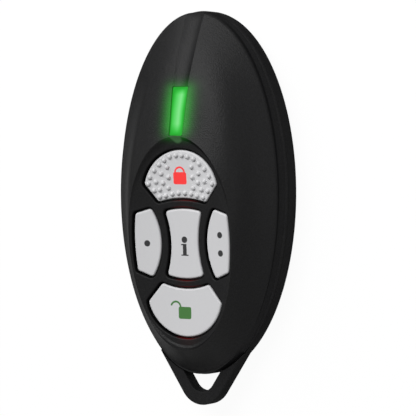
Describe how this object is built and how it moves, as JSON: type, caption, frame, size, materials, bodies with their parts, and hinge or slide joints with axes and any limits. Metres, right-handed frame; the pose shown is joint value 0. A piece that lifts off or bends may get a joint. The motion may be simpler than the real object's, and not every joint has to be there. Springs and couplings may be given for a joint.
{
  "type": "alarm key fob",
  "caption": "Oval two-shell remote control with push buttons in a dished keypad, a light window and a key loop at one end.",
  "frame": {"origin": "centre of the oval body's flat back face", "axes": "+Z out of the front, +Y towards the light end, +X across to the right"},
  "size_m": [0.042, 0.0849, 0.0176],
  "materials": {
    "shell_black": "fine spark-eroded texture, matte black",
    "button_grey": "smooth satin light grey",
    "light_window": "clear green, polished, lit from inside",
    "lamp_lens": "clear lens over the chip",
    "screw_steel": "zinc plated",
    "board_green": "green solder mask",
    "part_black": "moulded black",
    "contact_metal": "nickel plated",
    "cell_steel": "bright stainless",
    "ceramic_part": "fired, with tinned ends"
  },
  "bodies": {
    "case": {"front_shell": "shell_black", "back_shell": "shell_black", "case_screw": "screw_steel", "light_pipe": "light_window", "switch_housings": "part_black", "switch_covers": "contact_metal", "switch_snap_domes": "contact_metal", "circuit_board": "board_green", "coin_cell": "cell_steel", "negative_contact": "contact_metal", "positive_contact": "contact_metal", "status_led": "lamp_lens", "controller_chip": "part_black", "radio_chip": "part_black", "crystal": "contact_metal", "small_parts": "ceramic_part", "loop_antenna": "contact_metal"},
    "lock": {"lock_button": "button_grey", "lock_switch_plunger": "part_black"},
    "left": {"left_button": "button_grey", "left_switch_plunger": "part_black"},
    "info": {"info_button": "button_grey", "info_switch_plunger": "part_black"},
    "right": {"right_button": "button_grey", "right_switch_plunger": "part_black"},
    "unlock": {"unlock_button": "button_grey", "unlock_switch_plunger": "part_black"}
  },
  "joints": [
    {"name": "lock_press", "type": "slide", "parent": "case", "child": "lock", "axis": [0, 0, -1], "range_m": [0, 0.0003], "stiffness_N_per_m": 5000},
    {"name": "left_press", "type": "slide", "parent": "case", "child": "left", "axis": [0, 0, -1], "range_m": [0, 0.0003], "stiffness_N_per_m": 5000},
    {"name": "info_press", "type": "slide", "parent": "case", "child": "info", "axis": [0, 0, -1], "range_m": [0, 0.0003], "stiffness_N_per_m": 5000},
    {"name": "right_press", "type": "slide", "parent": "case", "child": "right", "axis": [0, 0, -1], "range_m": [0, 0.0003], "stiffness_N_per_m": 5000},
    {"name": "unlock_press", "type": "slide", "parent": "case", "child": "unlock", "axis": [0, 0, -1], "range_m": [0, 0.0003], "stiffness_N_per_m": 5000}
  ]
}
